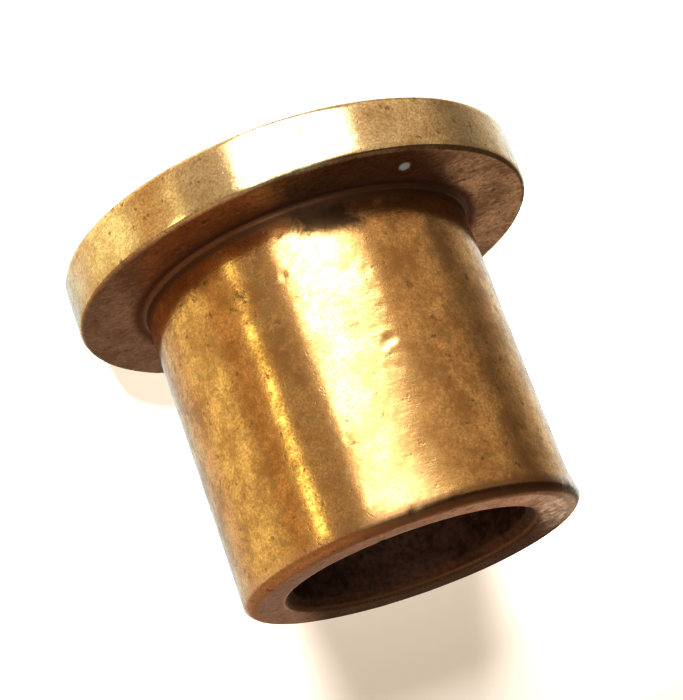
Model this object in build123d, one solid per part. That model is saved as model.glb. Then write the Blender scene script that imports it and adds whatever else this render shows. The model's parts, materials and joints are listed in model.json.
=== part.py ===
from build123d import *
import os

# Flanged bronze sleeve bushing, turned in one piece from bar.
# Frame: origin at the centre of the flange's outer (thrust) face, +Z along the
# bore axis towards the plain end of the sleeve. All sizes are in millimetres.

# Driving dimensions: the fits and the two faces that locate the bushing.
BORE_DIAMETER = 14.0
SLEEVE_DIAMETER = 20.0
FLANGE_DIAMETER = 28.0
FLANGE_THICKNESS = 3.5
OVERALL_LENGTH = 22.5

# Edge breaks that the turning tool leaves. Every chamfer is 45 degrees.
BORE_MOUTH_CHAMFER = 0.7
SLEEVE_END_CHAMFER = 0.4
FLANGE_EDGE_CHAMFER = 0.3
ROOT_FILLET_RADIUS = 0.4

# Radii worked out from the diameters.
BORE_RADIUS = BORE_DIAMETER / 2
SLEEVE_RADIUS = SLEEVE_DIAMETER / 2
FLANGE_RADIUS = FLANGE_DIAMETER / 2


def flange_blank():
    """The thrust flange: a flat disc that stops the bushing in its housing."""
    disc = Cylinder(FLANGE_RADIUS, FLANGE_THICKNESS, align=(Align.CENTER, Align.CENTER, Align.MIN))
    rim_edges = disc.edges().filter_by(GeomType.CIRCLE)
    return chamfer(rim_edges, FLANGE_EDGE_CHAMFER)


def sleeve_blank():
    """The sleeve that presses into the housing, with a lead-in chamfer at its plain end."""
    tube = Cylinder(SLEEVE_RADIUS, OVERALL_LENGTH, align=(Align.CENTER, Align.CENTER, Align.MIN))
    plain_end = tube.edges().filter_by(GeomType.CIRCLE).sort_by(Axis.Z)[-1]
    return chamfer(plain_end, SLEEVE_END_CHAMFER)


def root_edges(turned_blank):
    """The inside corner where the sleeve meets the flange's seating face."""
    rings = turned_blank.edges().filter_by(GeomType.CIRCLE)
    at_seat = [ring for ring in rings if abs(ring.center().Z - FLANGE_THICKNESS) < ROOT_FILLET_RADIUS / 2]
    return [ring for ring in at_seat if abs(ring.radius - SLEEVE_RADIUS) < ROOT_FILLET_RADIUS / 2]


def bore_cutter():
    """The running bore, opened by a chamfer at each mouth."""
    bore = Cylinder(BORE_RADIUS, OVERALL_LENGTH, align=(Align.CENTER, Align.CENTER, Align.MIN))
    mouth_radius = BORE_RADIUS + BORE_MOUTH_CHAMFER
    flange_mouth = Cone(
        mouth_radius, BORE_RADIUS, BORE_MOUTH_CHAMFER, align=(Align.CENTER, Align.CENTER, Align.MIN)
    )
    sleeve_mouth = Cone(
        BORE_RADIUS, mouth_radius, BORE_MOUTH_CHAMFER, align=(Align.CENTER, Align.CENTER, Align.MAX)
    )
    return bore + flange_mouth + Pos(0, 0, OVERALL_LENGTH) * sleeve_mouth


def bushing_body():
    """The whole bushing: flange and sleeve are one casting, turned and bored in one setting."""
    blank = flange_blank() + sleeve_blank()
    blank = fillet(root_edges(blank), ROOT_FILLET_RADIUS)
    body = blank - bore_cutter()
    return body


os.makedirs("parts", exist_ok=True)
body = bushing_body()
export_step(body, "parts/bushing_body.step")
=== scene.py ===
import json
import math
import random
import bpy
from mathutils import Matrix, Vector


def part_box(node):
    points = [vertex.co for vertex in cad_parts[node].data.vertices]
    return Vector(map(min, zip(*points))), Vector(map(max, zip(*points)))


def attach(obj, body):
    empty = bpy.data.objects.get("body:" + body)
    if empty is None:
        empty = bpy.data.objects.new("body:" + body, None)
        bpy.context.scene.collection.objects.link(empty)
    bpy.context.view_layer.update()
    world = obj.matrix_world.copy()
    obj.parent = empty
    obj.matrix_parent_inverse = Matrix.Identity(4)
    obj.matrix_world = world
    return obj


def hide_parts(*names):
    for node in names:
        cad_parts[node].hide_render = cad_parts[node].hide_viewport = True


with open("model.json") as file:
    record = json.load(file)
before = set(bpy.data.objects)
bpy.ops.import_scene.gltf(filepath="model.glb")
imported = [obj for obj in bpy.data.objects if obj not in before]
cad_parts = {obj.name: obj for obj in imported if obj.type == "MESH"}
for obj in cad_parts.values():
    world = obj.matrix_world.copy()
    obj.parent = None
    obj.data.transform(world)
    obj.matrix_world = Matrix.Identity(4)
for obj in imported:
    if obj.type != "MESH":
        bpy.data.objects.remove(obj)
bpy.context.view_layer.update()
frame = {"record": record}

from types import SimpleNamespace

import bpy
import numpy as np
from mathutils import Matrix, Quaternion, Vector, noise

# ---- The bushing body -------------------------------------------------------
# One piece of cast tin bronze: sleeve, thrust flange and bore, turned in one
# setting. It has been pressed in and out of a housing, so its skin is scuffed,
# pitted and browned, and its edges are worn round.

MM = 0.001
mounts = {mount["name"]: mount for mount in frame["record"]["mounts"]}

# The turned sizes, in millimetres.
low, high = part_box("bushing_body")
flange_radius = (high.x - low.x) / 2 / MM
overall_length = (high.z - low.z) / MM
sleeve_radius = mounts["housing_seat"]["dims"]["r_mm"]
bore_radius = mounts["shaft_bore"]["dims"]["r_mm"]
flange_thickness = mounts["flange_seat_face"]["pos_m"][2] / MM
mouth_chamfer = (overall_length - mounts["shaft_bore"]["dims"]["length_mm"]) / 2
end_chamfer = 0.4
rim_chamfer = 0.3
seat_edge = 0.2

# The radius of the root fillet, and of each edge as wear has left it.
root_radius = 0.3
worn_rim = 0.4
worn_seat_edge = 0.28
worn_end = 0.5
worn_mouth = 0.3

# How many steps the skin takes round the bore, and round each corner of the outline.
segments = 360
corner_steps = 5


def corner(radius, height, blend, pitch):
    """One corner of the turned outline: where it is, how round it is, and the ring pitch after it."""
    return Vector((radius, height)), blend, pitch


outline = [
    corner(bore_radius, mouth_chamfer, blend=0.1, pitch=0.2),
    corner(bore_radius + mouth_chamfer, 0, blend=0.12, pitch=0.55),
    corner(flange_radius - rim_chamfer, 0, blend=worn_rim, pitch=0.15),
    corner(flange_radius, rim_chamfer, blend=worn_rim, pitch=0.2),
    corner(flange_radius, flange_thickness - seat_edge, blend=worn_seat_edge, pitch=0.15),
    corner(flange_radius - seat_edge, flange_thickness, blend=worn_seat_edge, pitch=0.2),
    corner(sleeve_radius, flange_thickness, blend=root_radius, pitch=0.2),
    corner(sleeve_radius, overall_length - end_chamfer, blend=worn_end, pitch=0.15),
    corner(sleeve_radius - end_chamfer, overall_length, blend=worn_end, pitch=0.18),
    corner(bore_radius + mouth_chamfer, overall_length, blend=worn_mouth, pitch=0.15),
    corner(bore_radius, overall_length - mouth_chamfer, blend=worn_mouth, pitch=0.6),
]


def corner_arc(before, here, after, blend):
    """The points of the arc that rounds one corner, from the run before it to the run after it."""
    back = (before - here).normalized()
    ahead = (after - here).normalized()
    half_turn = (math.pi - back.angle(ahead)) / 2
    reach = blend * math.tan(half_turn)
    centre = here + (back + ahead).normalized() * blend / math.cos(half_turn)
    first = here + back * reach - centre
    sweep = first.angle_signed(here + ahead * reach - centre)
    turns = [Matrix.Rotation(-sweep * step / corner_steps, 2) for step in range(corner_steps + 1)]
    return [centre + turn @ first for turn in turns]


def turned_profile(corners):
    """The closed outline as points (radius, height): an arc at each corner and even steps between."""
    arcs = []
    for index, (here, blend, _) in enumerate(corners):
        before = corners[index - 1][0]
        after = corners[(index + 1) % len(corners)][0]
        arcs.append(corner_arc(before, here, after, blend))
    rings = []
    for index, (_, _, pitch) in enumerate(corners):
        rings += arcs[index]
        start = arcs[index][-1]
        end = arcs[(index + 1) % len(arcs)][0]
        count = max(1, round((end - start).length / pitch))
        rings += [start.lerp(end, step / count) for step in range(1, count)]
    return rings


def turned_surface(rings):
    """Every vertex of the turned skin and its outward normal, as two arrays in millimetres."""
    profile = np.array(rings)
    along = np.roll(profile, -1, axis=0) - np.roll(profile, 1, axis=0)
    along /= np.linalg.norm(along, axis=1)[:, None]
    angles = np.arange(segments) * 2 * math.pi / segments
    sides = np.stack([np.sin(angles), -np.cos(angles)], axis=1)
    places = np.zeros((len(rings), segments, 3))
    normals = np.zeros_like(places)
    places[:, :, :2] = profile[:, None, :1] * sides
    places[:, :, 2] = profile[:, 1:]
    normals[:, :, :2] = along[:, None, 1:] * sides
    normals[:, :, 2] = -along[:, :1]
    return places.reshape(-1, 3), normals.reshape(-1, 3)


def skin_point(angle, height, radius):
    """A point in millimetres, at an angle in degrees round the bore from the front."""
    turn = math.radians(angle)
    return np.array([radius * math.sin(turn), -radius * math.cos(turn), height])


def dent(centre, radius, depth):
    """Pushes a round hollow into the skin's relief, with a lip raised by a quarter of its depth."""
    away = np.linalg.norm(places - centre, axis=1) / radius
    near = away < 1.8
    hollow = np.exp(-((away[near] / 0.55) ** 2))
    lip = np.exp(-(((away[near] - 1.1) / 0.28) ** 2))
    relief[near] += -depth * hollow + 0.25 * depth * lip


rings = turned_profile(outline)
places, normals = turned_surface(rings)

# Slow waves that the casting and the wear leave in the whole skin.
relief = np.zeros(len(places))
for reach, height in ((2.8, 0.009), (1.1, 0.003)):
    shift = Vector((9, 3, 5)) * height
    relief += [height * noise.noise(Vector(place) / reach + shift) for place in places]

# Scuffs all round the sleeve, and more of them close together at the front.
scuffs_all_round = 150
scuffs_in_front = 45
random.seed(11)
for _ in range(scuffs_all_round):
    centre = skin_point(random.uniform(-180, 180), random.uniform(4.5, 22), sleeve_radius)
    dent(centre, radius=random.uniform(0.18, 0.4), depth=random.uniform(0.004, 0.014))
for _ in range(scuffs_in_front):
    centre = skin_point(random.uniform(-28, -2), random.uniform(7, 17), sleeve_radius)
    dent(centre, radius=random.uniform(0.22, 0.5), depth=random.uniform(0.004, 0.009))

# The deeper dents, each at its angle and height.
for angle, height, radius, depth in (
    (-17, 12.6, 0.45, 0.03),
    (-14.5, 12.9, 0.3, 0.02),
    (-6, 10.0, 0.25, 0.016),
    (3, 10.1, 0.25, 0.016),
    (7.5, 7.2, 0.35, 0.03),
    (-23, 18.1, 0.4, 0.015),
):
    dent(skin_point(angle, height, sleeve_radius), radius, depth)

# Nicks along the edges: both rim edges, the sleeve's end and the bore's mouth.
edge_nicks = 26
nick_inset = 0.1
edges = (
    (flange_radius - nick_inset, flange_thickness - nick_inset),
    (flange_radius - nick_inset, nick_inset),
    (sleeve_radius - nick_inset, overall_length - end_chamfer),
    (bore_radius + mouth_chamfer, overall_length),
)
for _ in range(edge_nicks):
    edge_radius, edge_height = random.choice(edges)
    centre = skin_point(random.uniform(-180, 180), edge_height, edge_radius)
    dent(centre, radius=random.uniform(0.25, 0.6), depth=random.uniform(0.02, 0.05))

# The plain end has been knocked with a drift: it is spread on one side and out of square.
spread_side = math.radians(-88)
most_spread = 0.28
spread_width = 0.35
low_side = math.radians(130)
out_of_square = 0.2
knock_reach = 1.1
spread_from = bore_radius + mouth_chamfer + 0.6

around = np.arctan2(places[:, 0], -places[:, 1])
near_end = np.exp(-(((overall_length - places[:, 2]) / knock_reach) ** 2))
outside = np.hypot(places[:, 0], places[:, 1]) > spread_from
on_spread_side = np.exp(-((1 - np.cos(around - spread_side)) / spread_width))
spread = most_spread * near_end * outside * on_spread_side
worn = places + normals * relief[:, None]
worn[:, 0] += spread * np.sin(around)
worn[:, 1] -= spread * np.cos(around)
worn[:, 2] -= out_of_square * near_end * (0.5 + 0.5 * np.cos(around - low_side)) ** 2

ring_count = len(rings)
faces = [
    (
        ring * segments + spoke,
        ring * segments + (spoke + 1) % segments,
        (ring + 1) % ring_count * segments + (spoke + 1) % segments,
        (ring + 1) % ring_count * segments + spoke,
    )
    for ring in range(ring_count)
    for spoke in range(segments)
]

body_mesh = bpy.data.meshes.new("bushing_body_worn")
body_mesh.from_pydata((worn * MM).tolist(), [], faces)
body_mesh.shade_smooth()
body = bpy.data.objects.new("bushing_body_worn", body_mesh)
bpy.context.scene.collection.objects.link(body)


class Wire:
    """A shader socket used as a number: each sum written with it adds a Math node."""

    def __init__(self, tree, socket=None):
        self.tree = tree
        self.socket = socket

    def node(self, kind, sockets=None, out=0, **settings):
        """Adds one node: first its settings, then a value or a link for each socket."""
        made = self.tree.nodes.new("ShaderNode" + kind)
        for name, value in settings.items():
            setattr(made, name, value)
        for name, value in (sockets or {}).items():
            if isinstance(value, Wire):
                self.tree.links.new(value.socket, made.inputs[name])
            else:
                made.inputs[name].default_value = value
        return None if out is None else Wire(self.tree, made.outputs[out])

    def math(self, operation, first, second=0.0):
        """One Math node, for an operation that has no sign of its own."""
        return self.node("Math", {0: first, 1: second}, operation=operation)

    def __add__(self, other):
        return self.math("ADD", self, other)

    __radd__ = __add__

    def __sub__(self, other):
        return self.math("SUBTRACT", self, other)

    def __rsub__(self, other):
        return self.math("SUBTRACT", other, self)

    def __mul__(self, other):
        return self.math("MULTIPLY", self, other)

    __rmul__ = __mul__

    def __truediv__(self, other):
        return self.math("DIVIDE", self, other)

    def __pow__(self, other):
        return self.math("POWER", self, other)

    def rise(self, start, end):
        """0 below start, 1 above end, smooth between."""
        return self.node(
            "MapRange",
            {"Value": self, "From Min": start, "From Max": end},
            interpolation_type="SMOOTHSTEP",
        )

    def noise(self, scale, detail, roughness):
        """Noise from 0 to 1 read at this vector."""
        sockets = {"Vector": self, "Scale": scale, "Detail": detail, "Roughness": roughness}
        return self.node("TexNoise", sockets)

    def scaled(self, factor):
        """This vector times a number."""
        return self.node("VectorMath", {0: self, "Scale": factor}, operation="SCALE")

    def parts(self):
        """The X, Y and Z of this vector."""
        made = self.node("SeparateXYZ", {0: self})
        return [Wire(self.tree, socket) for socket in made.socket.node.outputs]

    def combined(self, x, y, z):
        """A vector from three numbers."""
        return self.node("CombineXYZ", {0: x, 1: y, 2: z})

    def mix(self, low_colour, high_colour):
        """A colour between two, by this factor."""
        return self.node("Mix", {0: self, 6: low_colour, 7: high_colour}, out=2, data_type="RGBA")


def between(value, start, end, soft):
    """1 from start to end, 0 outside, with soft edges."""
    return value.rise(start - soft, start + soft) * (1 - value.rise(end - soft, end + soft))


def skin_marks(wire):
    """The skin's places and noises in millimetres, and a mask from 0 to 1 for each finish on it and
    each patch of painted shade.
    """
    at = SimpleNamespace()
    skin = wire.node("TexCoord", out=3).scaled(1 / MM)
    at.x, at.y, at.z = skin.parts()
    at.radius = (at.x * at.x + at.y * at.y) ** 0.5
    angle = wire.math("ARCTAN2", at.x, 0 - at.y) * (180 / math.pi)

    # The brown film that handling leaves, from wide patches down to grit and pits.
    film = skin.noise(0.5, 6.0, 0.66)
    at.grain = skin.noise(2.6, 4.0, 0.65)
    at.grit = skin.noise(7.5, 3.0, 0.6)
    at.patch = (film * 0.72 + at.grain * 0.28).rise(0.38, 0.62)
    at.oxide = (film * 0.5 + at.grain * 0.5).rise(0.36, 0.64)
    at.olive = skin.noise(1.3, 4.0, 0.62).rise(0.52, 0.7)
    at.pits = skin.noise(1.9, 3.0, 0.55).rise(0.62, 0.72)

    # The turned faces.
    at.in_bore = 1 - at.radius.rise(bore_radius + 0.35, bore_radius + 0.75)
    at.on_rim = at.radius.rise(flange_radius - 0.6, flange_radius - 0.2)
    above_seat = at.z.rise(flange_thickness - 0.16, flange_thickness - 0.04)
    at.on_seat = above_seat * at.radius.rise(sleeve_radius + 0.1, sleeve_radius + 0.5)

    # The end face and the lip round it, measured from the end as it was knocked out of square.
    towards_low_side = (at.x * math.sin(low_side) - at.y * math.cos(low_side)) / at.radius
    end_z = at.z + out_of_square * (towards_low_side * 0.5 + 0.5) ** 2
    outer_ring = at.radius.rise(sleeve_radius - 0.9, sleeve_radius - 0.55)
    at.on_end = end_z.rise(overall_length - 0.25, overall_length - 0.08)
    at.on_lip = (end_z + at.grain * 0.5).rise(overall_length - 0.95, overall_length - 0.4) * outer_ring

    # Painted shade: the far half of the end is made dark, dull and not metal. The bore is made partly
    # dull and not metal too, more where the oxide is.
    at.caked = (at.y + at.oxide * 4).rise(-1.0, 4.5) * between(at.x + at.grain * 2, -7.2, 7.8, 1.2)
    grime = at.caked * at.on_end + at.in_bore * (0.35 + at.oxide * 0.35)
    at.grime = wire.math("MINIMUM", grime, 1.0)

    # Painted shade in the root of the flange, and more painted shade that reaches up from it on the
    # front of the sleeve.
    from_corner_x = at.radius - sleeve_radius
    from_corner_z = at.z - flange_thickness
    from_corner = (from_corner_x * from_corner_x + from_corner_z * from_corner_z) ** 0.5
    at.in_root = 1 - (from_corner + film * 0.9).rise(0.8, 1.5)
    stain_angle = angle + at.z * 1.5 + at.grain * 12 + film * 6
    stain_height = at.z + angle * 0.02 + at.grain * 0.9
    at.stain = between(stain_angle, -4.5, 15.0, 4.0) * between(stain_height, 4.0, 5.9, 0.5)

    # A small pale bluish fleck on the seating face.
    drop_x, drop_y, _ = skin_point(-36, flange_thickness, 12.0)
    from_drop_x = at.x - float(drop_x)
    from_drop_y = at.y - float(drop_y)
    from_drop = (from_drop_x * from_drop_x + from_drop_y * from_drop_y * 0.45) ** 0.5
    at.fleck = (1 - (from_drop + at.grit * 0.15).rise(0.28, 0.52)) * above_seat
    return at


gold_metal = (0.96, 0.57, 0.225, 1)
brown_film = (0.6, 0.32, 0.115, 1)
olive_film = (0.52, 0.36, 0.14, 1)
rubbed_metal = (1.0, 0.76, 0.42, 1)
seat_tan = (0.64, 0.48, 0.31, 1)
seat_umber = (0.32, 0.19, 0.105, 1)
oiled_seat_tan = (0.6, 0.42, 0.29, 1)
oiled_seat_umber = (0.36, 0.235, 0.155, 1)
end_pink = (0.7, 0.44, 0.29, 1)
end_bare = (0.95, 0.85, 0.72, 1)
end_tarnish = (0.42, 0.23, 0.13, 1)
lip_brown = (0.36, 0.19, 0.08, 1)
lip_gold = (0.8, 0.46, 0.23, 1)
lip_bare = (0.92, 0.8, 0.66, 1)
# Painted shade for the far half of the end.
burnt_oil = (0.075, 0.036, 0.018, 1)
pit_dirt = (0.2, 0.1, 0.045, 1)
grit_brown = (0.4, 0.2, 0.08, 1)
# Painted shade low on the front of the sleeve.
stain_brown = (0.11, 0.055, 0.025, 1)
# Painted shade in the root of the flange.
root_brown = (0.28, 0.14, 0.075, 1)
# Painted shade in the bore, black to brown with the oxide.
bore_black = (0.08, 0.034, 0.018, 1)
bore_brown = (0.24, 0.11, 0.055, 1)
# The small pale bluish fleck on the seating face, not metal.
dried_coolant = (0.7, 0.8, 0.84, 1)


def bronze_colour(at):
    """Brown film over gold metal, then each face's own finish with painted shade on the end's far half,
    then pits and grit, then painted shade low on the front, in the root and in the bore, and last a
    pale fleck.
    """
    colour = at.patch.mix(gold_metal, brown_film)
    colour = (at.olive * 0.55).mix(colour, olive_film)
    colour = (at.on_rim * (0.85 - at.patch * 0.45)).mix(colour, rubbed_metal)

    dry_seat = at.oxide.mix(seat_tan, seat_umber)
    oiled_seat = at.oxide.mix(oiled_seat_tan, oiled_seat_umber)
    seat = (at.x.rise(-6, 5) * 0.8).mix(dry_seat, oiled_seat)
    colour = (at.on_seat * 0.92).mix(colour, seat)

    end = (1 - at.x.rise(-9.5, -6.0)).mix(end_pink, end_bare)
    end = (at.oxide * 0.45).mix(end, end_tarnish)
    # On the end and its lip, the far half is painted dark: painted shade.
    colour = (at.on_end * 0.9).mix(colour, at.caked.mix(end, burnt_oil))
    lip = at.x.rise(-1, 8).mix(lip_brown, lip_gold)
    lip = (1 - at.x.rise(-10.1, -8.2)).mix(lip, lip_bare)
    colour = (at.on_lip * 0.92).mix(colour, at.caked.mix(lip, burnt_oil))

    colour = (at.pits * 0.6).mix(colour, pit_dirt)
    colour = (at.grit.rise(0.36, 0.64) * 0.42).mix(colour, grit_brown)
    # Painted shade low on the front of the sleeve, above the root.
    colour = (at.stain * 0.9).mix(colour, stain_brown)
    # Painted shade in the root of the flange.
    colour = (at.in_root * 0.9).mix(colour, root_brown)
    # Painted shade in the bore, with the oxide varying it from black to brown.
    colour = (at.in_bore * 0.95).mix(colour, at.oxide.mix(bore_black, bore_brown))
    return at.fleck.mix(colour, dried_coolant)


def bronze_roughness(at):
    """Metal polished by handling, duller where film, grit or pits lie on it, and where shade is
    painted.
    """
    roughness = 0.12 - at.on_rim * 0.03 + at.patch * 0.07 + at.olive * 0.06
    roughness = roughness + at.grit.rise(0.4, 0.7) * 0.06 + at.pits * 0.1
    roughness = roughness + at.on_seat * 0.25 + at.on_end * 0.2 + at.on_lip * 0.1
    roughness = roughness + at.in_bore * 0.25 + at.in_root * 0.28 + at.stain * 0.2
    return roughness + at.fleck * 0.4 + at.grime * 0.25


def bronze_relief(wire, at):
    """Fine relief in millimetres: the lathe tool's lines, grain, grit and pits."""
    across_the_lines = (at.z + at.radius * 0.8) * 7.0
    lathe = wire.combined(at.x * 0.25, at.y * 0.25, across_the_lines).noise(1.0, 2.0, 0.5)
    return lathe * 0.0016 + at.grain * 0.005 + at.grit * 0.0016 - at.pits * 0.003


def bronze_skin():
    """Cast tin bronze, turned and then worn."""
    material = bpy.data.materials.new("worn_bronze")
    material.use_nodes = True
    material.node_tree.nodes.clear()
    wire = Wire(material.node_tree)
    at = skin_marks(wire)
    relief_in_metres = bronze_relief(wire, at) * MM
    shader = wire.node(
        "BsdfPrincipled",
        {
            "Base Color": bronze_colour(at),
            # The painted shade on the end and in the bore also takes the metal away.
            "Metallic": (1 - at.fleck) * (1 - at.grime * 0.9),
            "Roughness": bronze_roughness(at),
            "Specular IOR Level": 0.15,
            "Normal": wire.node("Bump", {"Height": relief_in_metres, "Distance": 1.0, "Strength": 1.0}),
        },
    )
    wire.node("OutputMaterial", {"Surface": shader}, out=None)
    return material


body_mesh.materials.append(bronze_skin())
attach(body, "root")
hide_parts("bushing_body")

# ---- The table top ----------------------------------------------------------
# A plain sheet of pale paper that the bushing stands on. It is not part of the
# object. It is flat and matt, and the metal doesn't mirror it.

floor_half = 3.0
floor_mesh = bpy.data.meshes.new("paper_floor")
floor_mesh.from_pydata(
    [
        (-floor_half, -floor_half, 0),
        (floor_half, -floor_half, 0),
        (floor_half, floor_half, 0),
        (-floor_half, floor_half, 0),
    ],
    [],
    [(0, 1, 2, 3)],
)
floor = bpy.data.objects.new("paper_floor", floor_mesh)
bpy.context.scene.collection.objects.link(floor)
paper = bpy.data.materials.new("pale_paper")
paper.use_nodes = True
paper_sockets = paper.node_tree.nodes["Principled BSDF"].inputs
paper_sockets["Base Color"].default_value = (0.86, 0.83, 0.79, 1)
paper_sockets["Roughness"].default_value = 1.0
paper_sockets["Specular IOR Level"].default_value = 0.0
floor_mesh.materials.append(paper)
floor.visible_glossy = False
floor.visible_shadow = False

# ---- The studio -------------------------------------------------------------
# The room that the metal mirrors: a tall window in front, a narrow lamp beside
# it, dim walls and bright paper behind. Only the metal shows it: seen directly,
# the backdrop is plain white.

world = bpy.data.worlds.new("studio")
bpy.context.scene.world = world
world.use_nodes = True
world.node_tree.nodes.clear()
room = Wire(world.node_tree)

# Azimuth in degrees, 0 in front and 90 on the right, and height in degrees above the table.
degree = 180 / math.pi
east, north, up = room.node("TexCoord", out=0).parts()
azimuth = room.math("ARCTAN2", east, 0 - north) * degree
height = room.math("ARCSINE", up) * degree
turn = room.math("ABSOLUTE", azimuth)
low_down = 1 - height.rise(0, 12)

# Low down, dim walls with a doorway, a gold wall on the right and paper hung at the back left.
doorway = between(azimuth, -122, -92, 16)
window_frame = between(azimuth, -54, 16, 5)
curtain = between(azimuth, 20, 42, 5)
walls = 0.55 - 0.27 * doorway + 0.06 * window_frame - 0.07 * curtain
gold_wall = 0.3 * between(azimuth, 78, 190, 6) - 0.08 * between(azimuth, 112, 200, 8)
hung_paper = 0.36 * turn.rise(122, 158) * (1 - east.rise(-0.4, 0.0))
near_table = 1.32 - 0.32 * height.rise(-25.5, -22.5)

# The window, narrower towards the table and brighter there, and the slatted lamp.
pane_start = 12 * height.rise(-20, -14) - 47
pane_end = 2 - 38 * (1 - height.rise(-24, -18.5))
pane = azimuth.rise(pane_start, pane_end) * (1 - azimuth.rise(11.5, 17.0))
window = pane * (1.75 + 2.9 * (1 - height.rise(-25, -16)))
slats = 1 + 0.5 * room.math("COSINE", (height + 15) * (2 * math.pi / 5))
lamp = between(azimuth, 46, 52.5, 1.6) * slats * (0.15 + 1.5 * height.rise(-25, -16))
lower_room = (walls + gold_wall + hung_paper) * near_table + window + lamp

# High up, a dim ceiling, a pale wall at the back left, and the top of the window.
ceiling = 0.13 + 0.2 * height.rise(30, 70) + 0.36 * east.rise(-0.3, 0.6)
pale_wall = 0.85 * turn.rise(160, 176) * (1 - east.rise(-0.14, 0.1))
window_top = 1.2 * pane * (1 - height.rise(28, 48))
upper_room = ceiling + pale_wall + window_top
level = low_down * lower_room + (1 - low_down) * upper_room

# The light is warm high up, and cooler from the window and the paper.
white = (1, 1, 1, 1)
warm_ceiling = (1, 0.85, 0.72, 1)
warm_corner = (1.12, 1.0, 0.8, 1)
lamp_yellow = (1.0, 1.2, 0.9, 1)
wall_yellow = (1.04, 1.14, 1.0, 1)
cool_paper = (0.97, 1.12, 1.24, 1)
cool_daylight = (0.88, 1.1, 1.4, 1)
tint = low_down.mix(warm_ceiling, white)
tint = (between(azimuth, 56, 78, 4) * low_down).mix(tint, warm_corner)
tint = (lamp * low_down).mix(tint, lamp_yellow)
tint = (between(azimuth, 76, 116, 6) * low_down).mix(tint, wall_yellow)
tint = (turn.rise(112, 150) * low_down).mix(tint, cool_paper)
tint = (window * 2.2).mix(tint, cool_daylight)

mirrored = room.node("Background", {"Color": tint, "Strength": level})
plain_white = room.node("Background", {"Strength": 1.1})
seen_directly = room.node("LightPath", out=0)
backdrop = room.node("MixShader", {0: seen_directly, 1: mirrored, 2: plain_white})
room.node("OutputWorld", {0: backdrop}, out=None)

# ---- The floor's lamps ------------------------------------------------------
# Three lamps that cast the bushing's soft shadows on the paper. They light only
# the paper, so that the metal mirrors nothing but the room.

only_floor = bpy.data.collections.new("floor_only")
only_floor.objects.link(floor)
foot = Vector((0, 0, 0))


def floor_light(name, kind, place, **settings):
    """A lamp at a place in metres, aimed at the foot of the bushing, that lights only the paper."""
    light = bpy.data.lights.new(name, kind)
    for setting, value in settings.items():
        setattr(light, setting, value)
    lamp_object = bpy.data.objects.new(name, light)
    lamp_object.location = place
    lamp_object.rotation_mode = "QUATERNION"
    lamp_object.rotation_quaternion = (foot - Vector(place)).to_track_quat("-Z", "Y")
    bpy.context.scene.collection.objects.link(lamp_object)
    lamp_object.visible_camera = False
    lamp_object.light_linking.receiver_collection = only_floor


floor_light("overhead", "SUN", (0, 0, 1), energy=0.75, angle=math.radians(60), color=(1, 0.86, 0.6))
floor_light("side_bulb", "POINT", (-0.045, 0.03, 0.05), energy=0.12, shadow_soft_size=0.02)
floor_light("low_front", "POINT", (-0.008, -0.3, 0.051), energy=75, shadow_soft_size=0.014)

# ---- The camera -------------------------------------------------------------
# It looks at the front of the bushing from close by and a little above, and is
# held nearly upside down, so that the flange is at the top. The view settings
# give plain tones with firm contrast.

camera_data = bpy.data.cameras.new("camera")
camera_data.sensor_width = 36
camera_data.lens = 106.76
camera_data.clip_start = 0.005
camera = bpy.data.objects.new("camera", camera_data)
bpy.context.scene.collection.objects.link(camera)
bpy.context.scene.camera = camera

distance = 0.1223
raised = math.radians(18.68)
sideways = math.radians(-0.148)
rolled = math.radians(159.82)
aim_aside = -0.0003
aim_height = 0.4005 * overall_length * MM
aim = Vector((aim_aside, 0, aim_height))
level_gaze = Vector((math.sin(sideways), math.cos(sideways), 0))
gaze = level_gaze * math.cos(raised) - Vector((0, 0, math.sin(raised)))
camera.location = aim - gaze * distance
camera.rotation_mode = "QUATERNION"
camera.rotation_quaternion = gaze.to_track_quat("-Z", "Y") @ Quaternion((0, 0, 1), rolled)

tones = bpy.context.scene.view_settings
tones.view_transform = "Standard"
tones.gamma = 0.667
tones.exposure = 0.3
